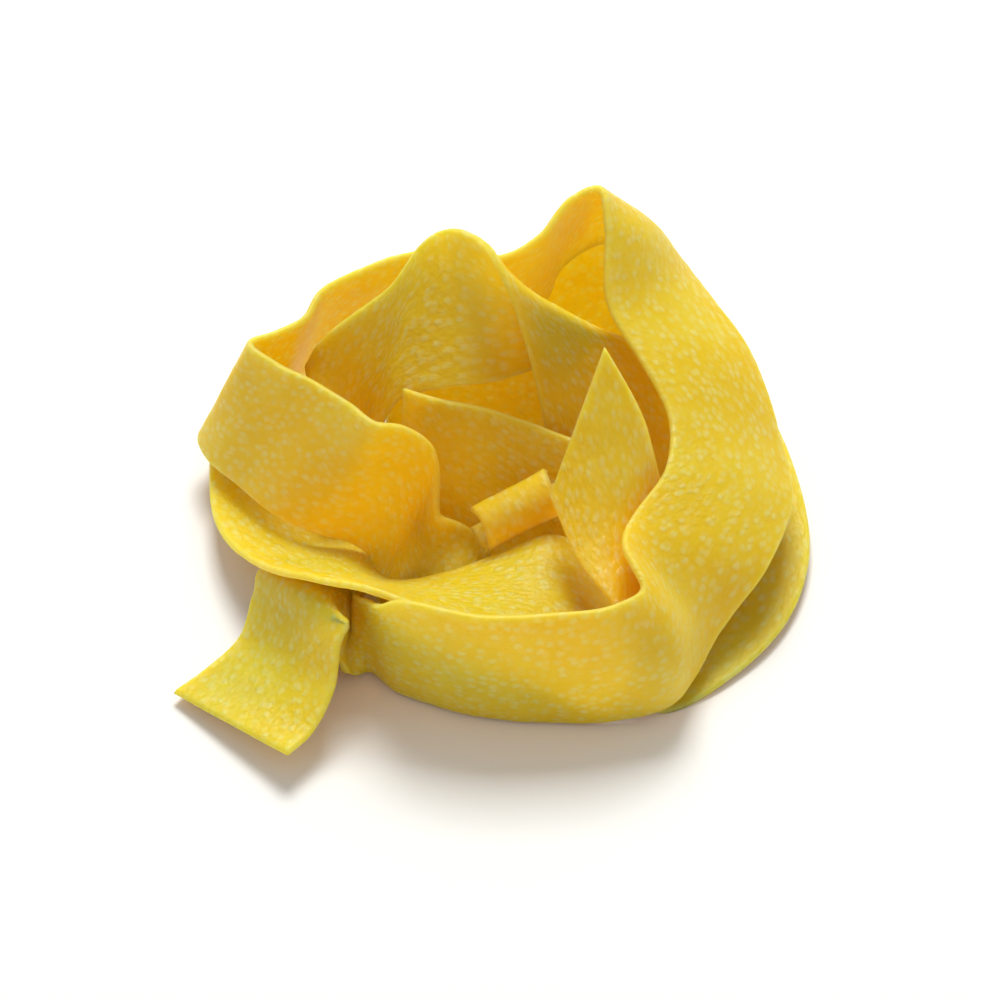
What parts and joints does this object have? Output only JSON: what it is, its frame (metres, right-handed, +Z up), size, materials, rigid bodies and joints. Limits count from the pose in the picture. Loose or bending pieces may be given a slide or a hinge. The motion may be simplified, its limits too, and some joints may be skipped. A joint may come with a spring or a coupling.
{
  "type": "dry pasta nest",
  "caption": "Loose nest of broad flat dried egg pasta ribbons, wound in a ring with a raised fold, a free tail and an open middle, resting on its lower ribbon.",
  "frame": {"origin": "middle of the nest's footprint, on the surface it rests on", "axes": "+Z up, the free tail towards -X and -Y, the high back loop towards +Y"},
  "size_m": [0.0834, 0.0826, 0.0409],
  "materials": {
    "egg_pasta": "dried egg dough, finely rough, slightly translucent, with pale semolina specks"
  },
  "bodies": {
    "root": {"outer_ribbon": "egg_pasta", "lower_ribbon": "egg_pasta", "dome_ribbon": "egg_pasta", "flap_ribbon": "egg_pasta", "core_ribbon": "egg_pasta", "inner_ribbon": "egg_pasta", "curl_ribbon": "egg_pasta"}
  },
  "joints": []
}
